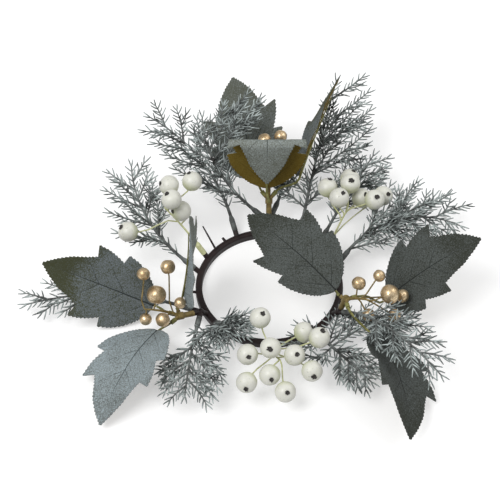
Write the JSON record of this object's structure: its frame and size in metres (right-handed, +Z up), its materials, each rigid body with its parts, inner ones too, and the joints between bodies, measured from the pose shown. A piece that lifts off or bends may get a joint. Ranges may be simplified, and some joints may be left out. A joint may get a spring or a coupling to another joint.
{
  "type": "candle ring",
  "caption": "Round candle ring of frosted leaves, fir sprigs, white and gold berries on a moulded hoop with pegs.",
  "frame": {"origin": "middle of the hoop's flat foot, on the table, on the candle's axis", "axes": "+Z up along the candle, -Y towards the front white berries, +Y towards the back leaf set"},
  "size_m": [0.3383, 0.3126, 0.1083],
  "materials": {
    "hoop_plastic": "satin dark purple-brown moulding",
    "frosted_fir": "grey-green needles with a pale frosting",
    "frosted_leaf": "pressed fabric, frosted grey-green above and olive beneath",
    "olive_stem": "olive with a faint gold dusting",
    "gold_berry": "fine speckled matte gold paint",
    "pale_stem": "pale yellow-green",
    "white_berry": "white with a green-yellow flush at the stalk",
    "dark_pip": "dry black"
  },
  "bodies": {
    "ring": {"base_ring": "hoop_plastic", "fir_sprig_01": "frosted_fir", "fir_sprig_02": "frosted_fir", "fir_sprig_03": "frosted_fir", "fir_sprig_04": "frosted_fir", "fir_sprig_05": "frosted_fir", "fir_sprig_06": "frosted_fir", "fir_sprig_07": "frosted_fir", "fir_sprig_08": "frosted_fir", "fir_sprig_09": "frosted_fir", "fir_sprig_10": "frosted_fir", "fir_sprig_11": "frosted_fir", "fir_sprig_12": "frosted_fir", "fir_sprig_13": "frosted_fir", "gold_berries_back": "gold_berry", "gold_berries_left": "gold_berry", "gold_berries_right": "gold_berry", "gold_stem_back": "olive_stem", "gold_stem_left": "olive_stem", "gold_stem_right": "olive_stem", "leaf_back_left_blade": "frosted_leaf", "leaf_back_left_stem": "olive_stem", "leaf_back_right_blade": "frosted_leaf", "leaf_back_right_stem": "olive_stem", "leaf_left_front_blade": "frosted_leaf", "leaf_left_front_stem": "olive_stem", "leaf_left_outer_blade": "frosted_leaf", "leaf_left_outer_stem": "olive_stem", "leaf_right_front_blade": "frosted_leaf", "leaf_right_front_stem": "olive_stem", "leaf_right_outer_blade": "frosted_leaf", "leaf_right_outer_stem": "olive_stem", "white_berries_front": "white_berry", "white_berries_left": "white_berry", "white_berries_right": "white_berry", "white_pips_front": "dark_pip", "white_pips_left": "dark_pip", "white_pips_right": "dark_pip", "white_stem_front": "pale_stem", "white_stem_left": "pale_stem", "white_stem_right": "pale_stem"},
    "leaf_back_inner": {"leaf_back_inner_blade": "frosted_leaf", "leaf_back_inner_stem": "olive_stem"},
    "leaf_left_inner": {"leaf_left_inner_blade": "frosted_leaf", "leaf_left_inner_stem": "olive_stem"},
    "leaf_right_inner": {"leaf_right_inner_blade": "frosted_leaf", "leaf_right_inner_stem": "olive_stem"}
  },
  "joints": [
    {"name": "leaf_back_inner_bend", "type": "hinge", "parent": "ring", "child": "leaf_back_inner", "pos_m": [0, 0.06099, 0.03032], "axis": [1, 0, 0], "range_deg": [0, 40]},
    {"name": "leaf_left_inner_bend", "type": "hinge", "parent": "ring", "child": "leaf_left_inner", "pos_m": [-0.06728, -0.03168, 0.01716], "axis": [-0.5, 0.866, 0], "range_deg": [0, 25]},
    {"name": "leaf_right_inner_bend", "type": "hinge", "parent": "ring", "child": "leaf_right_inner", "pos_m": [0.0493, -0.02847, 0.02947], "axis": [0.5, 0.866, 0], "range_deg": [0, 78]}
  ]
}
